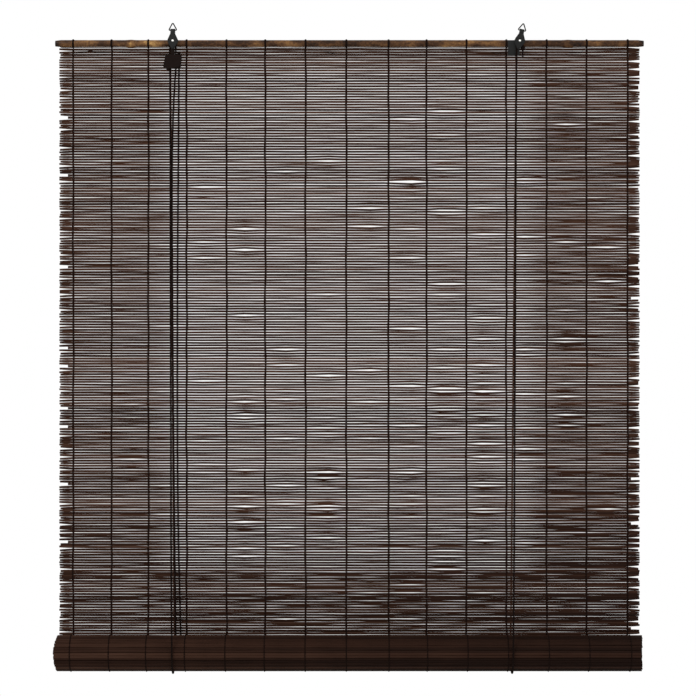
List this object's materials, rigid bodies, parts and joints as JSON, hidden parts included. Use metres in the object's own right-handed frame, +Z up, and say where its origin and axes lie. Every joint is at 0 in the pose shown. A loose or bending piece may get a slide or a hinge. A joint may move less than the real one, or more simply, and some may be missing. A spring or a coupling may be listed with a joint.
{
  "type": "bamboo roll-up blind",
  "caption": "Dark bamboo reed roll-up blind on a glazed cane head rail, hung by two wire rings, half rolled up on its lift cords with a cord lock at the left.",
  "frame": {"origin": "midway between the two wire rings, on the level line where the hooks carry them", "axes": "+X to the right along the head rail seen from the room, -Y toward the room, +Z up"},
  "size_m": [1.2, 0.0934, 1.3206],
  "materials": {
    "glazed_cane": "mottled golden-brown cane under a thin glaze",
    "dark_reed": "dark chocolate stained reed, satin",
    "dark_thread": "twined dark brown cotton thread",
    "ring_wire": "darkened bent steel wire",
    "black_metal": "black enamel on pressed steel",
    "black_plastic": "black moulded nylon",
    "bright_rivet": "bright rolled steel",
    "brown_plastic": "dark brown moulded plastic",
    "dark_cord": "braided dark brown cotton cord"
  },
  "bodies": {
    "frame": {"head_rail": "glazed_cane", "reed_mat": "dark_reed", "warp_threads": "dark_thread", "left_pulley_housing": "black_metal", "right_pulley_housing": "black_metal", "left_axle_rivet": "bright_rivet", "right_axle_rivet": "bright_rivet", "left_rail_band": "black_metal", "right_rail_band": "black_metal", "left_guide_post": "black_plastic", "right_guide_post": "black_plastic", "lock_body": "brown_plastic", "lock_pin": "bright_rivet", "lock_rivet": "black_metal", "left_front_cord": "dark_cord", "right_front_cord": "dark_cord", "left_rear_cord": "dark_cord", "right_rear_cord": "dark_cord", "lift_cord": "dark_cord", "pull_cord": "dark_cord", "return_cord": "dark_cord"},
    "carriage": {"cord_loops": "dark_cord"},
    "roll": {"mat_roll": "dark_reed", "bottom_cane": "glazed_cane"},
    "left_wheel": {"left_sheave": "black_plastic"},
    "right_wheel": {"right_sheave": "black_plastic"},
    "left_eye": {"left_ring": "ring_wire"},
    "right_eye": {"right_ring": "ring_wire"},
    "cam": {"lock_cam": "bright_rivet"}
  },
  "joints": [
    {"name": "roll_lift", "type": "slide", "parent": "frame", "child": "carriage", "axis": [0, 0, 1], "range_m": [0, 1.13], "deforming": ["reed_mat", "warp_threads", "left_front_cord", "right_front_cord", "left_rear_cord", "right_rear_cord", "pull_cord", "return_cord"]},
    {"name": "roll_spin", "type": "hinge", "parent": "carriage", "child": "roll", "pos_m": [0, -0.037, -1.27815], "axis": [1, 0, 0], "range_deg": [-1755, 0]},
    {"name": "left_sheave_spin", "type": "hinge", "parent": "frame", "child": "left_wheel", "pos_m": [-0.3595, -0.01335, -0.0359], "axis": [0, 1, 0], "continuous": true},
    {"name": "right_sheave_spin", "type": "hinge", "parent": "frame", "child": "right_wheel", "pos_m": [0.3465, -0.01335, -0.0359], "axis": [0, 1, 0], "continuous": true},
    {"name": "left_ring_swing", "type": "hinge", "parent": "frame", "child": "left_eye", "pos_m": [-0.3595, -0.01335, -0.0145], "axis": [1, 0, 0], "range_deg": [-90, 90]},
    {"name": "right_ring_swing", "type": "hinge", "parent": "frame", "child": "right_eye", "pos_m": [0.35095, -0.01335, -0.01497], "axis": [0.9781, 0, -0.2079], "range_deg": [-90, 90]},
    {"name": "lock_cam_turn", "type": "hinge", "parent": "frame", "child": "cam", "pos_m": [-0.3583, -0.01335, -0.0779], "axis": [0, 1, 0], "range_deg": [0, 40]}
  ],
  "couplings": [
    {"joint": "roll_spin", "follows": "roll_lift", "rad_per_m": -27.027},
    {"joint": "left_sheave_spin", "follows": "roll_lift", "rad_per_m": 655.74}
  ]
}
